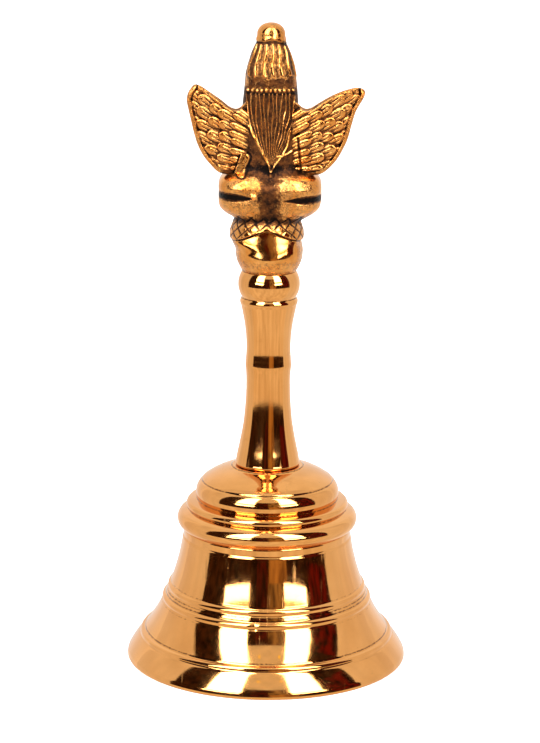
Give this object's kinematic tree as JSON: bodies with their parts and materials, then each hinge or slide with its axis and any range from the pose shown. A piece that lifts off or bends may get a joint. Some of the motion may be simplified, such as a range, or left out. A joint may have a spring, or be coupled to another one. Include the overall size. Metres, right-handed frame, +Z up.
{
  "type": "hand bell",
  "caption": "Brass hand bell with a flared ribbed cup, stepped crown, waisted turned shaft and a kneeling winged figure on top, rung by a ball clapper on a wire link.",
  "frame": {"origin": "centre of the bell's mouth, in the plane the lip stands on", "axes": "+Z up along the bell's axis from the mouth to the figure's head, +Y the way the figure looks, +X its right-hand side seen from behind"},
  "size_m": [0.078, 0.078, 0.178],
  "materials": {
    "polished_brass": "turned and mirror polished, fine scratches",
    "cast_brass": "cast and filed, polished on the high spots, brown patina in the recesses",
    "clapper_brass": "turned, dull",
    "steel": "plain steel, slightly oiled"
  },
  "bodies": {
    "bell": {"bell_cup": "polished_brass", "crown": "polished_brass", "handle_shaft": "polished_brass", "handle_stud": "steel", "crown_washer": "steel", "crown_nut": "steel", "figure": "cast_brass", "figure_stud": "steel", "left_wing": "cast_brass", "right_wing": "cast_brass"},
    "link": {"clapper_link": "steel"},
    "clapper": {"clapper_rod": "steel", "clapper_ball": "clapper_brass"}
  },
  "joints": [
    {"name": "link_swing", "type": "hinge", "parent": "bell", "child": "link", "pos_m": [0, 0, 0.0428], "axis": [1, 0, 0], "range_deg": [-9, 9]},
    {"name": "clapper_swing", "type": "hinge", "parent": "link", "child": "clapper", "pos_m": [0, 0, 0.0377], "axis": [0, 1, 0], "range_deg": [-38, 38]}
  ]
}
